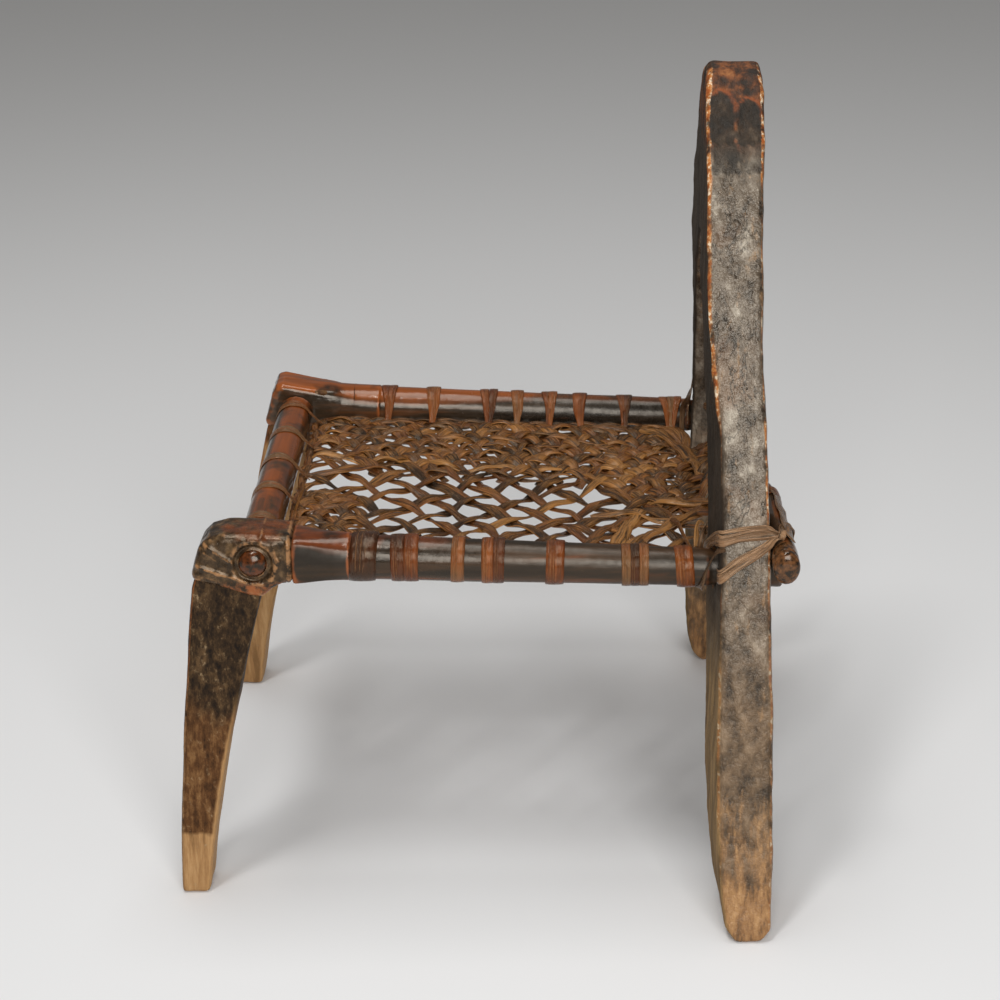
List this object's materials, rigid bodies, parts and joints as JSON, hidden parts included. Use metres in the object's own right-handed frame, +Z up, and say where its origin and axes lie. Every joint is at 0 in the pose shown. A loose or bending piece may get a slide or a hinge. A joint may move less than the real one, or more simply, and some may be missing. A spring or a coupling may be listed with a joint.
{
  "type": "childs chair",
  "caption": "Low carved wooden child's chair with an arched plank back whose splayed stiles are the rear legs, and a seat of laced hide strips wound on round rails.",
  "frame": {"origin": "on the floor, in the middle of the chair's width and depth", "axes": "+Z up, -Y to the chair's front, +X to the chair's own left, which is the near side in the picture"},
  "size_m": [0.4724, 0.4079, 0.52],
  "materials": {
    "dark_wood": "hand-adzed, dark patina, worn brown at the edges",
    "leg_wood": "hand-adzed, matt, paler towards the feet",
    "rail_wood": "smooth, glossy dark patina worn red-brown",
    "seat_hide": "rawhide strips, dry and fibrous",
    "dark_hide": "rawhide, shrunk on, dark and worn glossy"
  },
  "bodies": {
    "root": {"back_frame": "dark_wood", "front_leg_left": "leg_wood", "front_leg_right": "leg_wood", "side_rail_left": "rail_wood", "side_rail_right": "rail_wood", "front_rail": "rail_wood", "rear_rail": "rail_wood", "seat_net": "seat_hide", "left_turn_1": "seat_hide", "left_turn_2": "seat_hide", "left_turn_3": "seat_hide", "left_turn_4": "seat_hide", "left_turn_5": "seat_hide", "left_turn_6": "seat_hide", "left_turn_7": "seat_hide", "right_turn_1": "seat_hide", "right_turn_2": "seat_hide", "right_turn_3": "seat_hide", "right_turn_4": "seat_hide", "right_turn_5": "seat_hide", "right_turn_6": "seat_hide", "right_turn_7": "seat_hide", "right_turn_8": "seat_hide", "front_turn_1": "seat_hide", "front_turn_2": "seat_hide", "front_turn_3": "seat_hide", "front_turn_4": "seat_hide", "front_turn_5": "seat_hide", "rear_turn_1": "seat_hide", "rear_turn_2": "seat_hide", "rear_turn_3": "seat_hide", "rear_turn_4": "seat_hide", "rear_turn_5": "seat_hide", "corner_sleeve_left": "dark_hide", "corner_sleeve_right": "dark_hide", "rear_lashing_left": "dark_hide", "rear_lashing_right": "dark_hide"}
  },
  "joints": []
}
